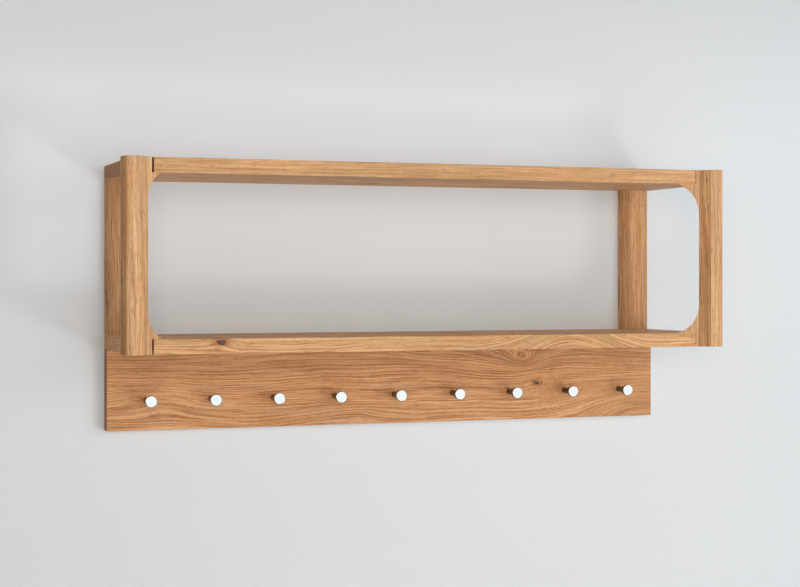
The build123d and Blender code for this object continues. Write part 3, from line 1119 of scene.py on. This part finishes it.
# %% [markdown]
# ## Light
# A wide softbox stands where a window would be, to the right of the camera. The pegs' flat faces mirror
# it, so it reaches far enough sideways for all nine. A smaller one near the camera keeps the sides that
# face it from going grey, one at the side shapes the round posts, and two low ones throw the pegs'
# shadows up to the left and light the undersides. Two long narrow ones above wash the wall over the shelf,
# and thin the shadow there. One behind the wall shows the back. Area lamps are used because their size
# sets how soft a shadow is, which a point or a sun lamp can't do as plainly.

# %% Lamps
COOL = (0.93, 0.96, 1.0)
WARM_LAMP = (1.0, 0.85, 0.70)


def softbox(name, spot, size, power, colour, target=SHELF_CENTRE, beam=180):
    """Hangs a rectangular area lamp, width by height in metres, and turns it to its target."""
    lamp = bpy.data.lights.new(name, "AREA")
    lamp.shape = "RECTANGLE"
    lamp.size, lamp.size_y = size
    lamp.energy = power
    lamp.color = colour
    lamp.spread = math.radians(beam)
    holder = bpy.data.objects.new(name, lamp)
    holder.location = spot
    holder.rotation_euler = (Vector(target) - Vector(spot)).to_track_quat("-Z", "Y").to_euler()
    holder.visible_camera = False
    bpy.context.scene.collection.objects.link(holder)


softbox("window softbox", (1.50, -3.15, 0.20), (4.2, 2.3), 59.0, (0.87, 0.95, 1.0))
softbox("camera softbox", (-0.90, -3.10, 0.35), (1.2, 1.0), 26.0, (1.0, 0.90, 0.79))
softbox("side softbox", (3.20, -1.60, 0.20), (1.6, 1.6), 5.0, WARM_LAMP)
softbox("low softbox", (1.30, -2.60, -0.75), (0.5, 0.4), 12.0, (0.95, 0.98, 1.0))
softbox("floor softbox", (0.0, -2.40, -1.00), (1.6, 0.6), 4.0, WARM_LAMP)
softbox("wall softbox", (0.05, -0.42, 0.74), (2.4, 0.3), 0.45, COOL, (0.05, 0.0, 0.33), 65)
softbox("wash softbox", (-0.11, -0.26, 0.62), (1.0, 0.06), 0.105, COOL, (-0.11, 0.0, 0.385), 50)
softbox("back softbox", (0.60, 2.60, 0.90), (1.8, 1.4), 34.0, (1.0, 0.99, 0.98))
print("lamps:", len(bpy.data.lights))

# %% [markdown]
# ### World
# The world adds an even level from all round, as white walls do. The camera sees it brighter than that,
# also in metal and through glass, and in the colour that the wall fades into. One level for both would
# either flatten the shadows or leave the background dark.

# %% World
EVEN_LEVEL = 0.15

world = bpy.data.worlds.new("pale room")
world.use_nodes = True
bpy.context.scene.world = world
tree = world.node_tree
even = tree.nodes["Background"]
even.inputs[0].default_value = (1.0, 0.985, 0.97, 1.0)
even.inputs[1].default_value = EVEN_LEVEL
shown = add(tree, "Background", PALE_GREY, 1.0)
path = tree.nodes.new("ShaderNodeLightPath").outputs
seen = calc(tree, "MAXIMUM", path["Is Camera Ray"], path["Is Glossy Ray"])
seen = calc(tree, "MAXIMUM", seen, path["Is Transmission Ray"])
mixed = add(tree, "MixShader", seen, even.outputs[0], shown.outputs[0])
join(tree, tree.nodes["World Output"].inputs[0], mixed.outputs[0])
bpy.context.scene.view_settings.view_transform = "Standard"
print("the world gives a level of", EVEN_LEVEL, "and shows", PALE_GREY[:3])

# %% [markdown]
# ## Camera
# A long lens, level, a little to the left of the shelf and turned towards it. The small shift lowers the
# frame without tilting the camera, which keeps upright edges upright.

# %% Camera
eye = bpy.data.cameras.new("camera")
eye.lens = 76.1
eye.sensor_width = 36.0
eye.shift_y = -0.0176
camera = bpy.data.objects.new("camera", eye)
camera.location = (-0.9553, -2.7009, 0.1761)
camera.rotation_euler = (math.radians(90), 0.0, math.radians(-19.82))
bpy.context.scene.collection.objects.link(camera)
bpy.context.scene.camera = camera
print("camera at", [round(v, 3) for v in camera.location])

# %% [markdown]
# ## Size
# Sanding and turning must not change what the part measures.

# %% Update the scene
bpy.context.view_layer.update()
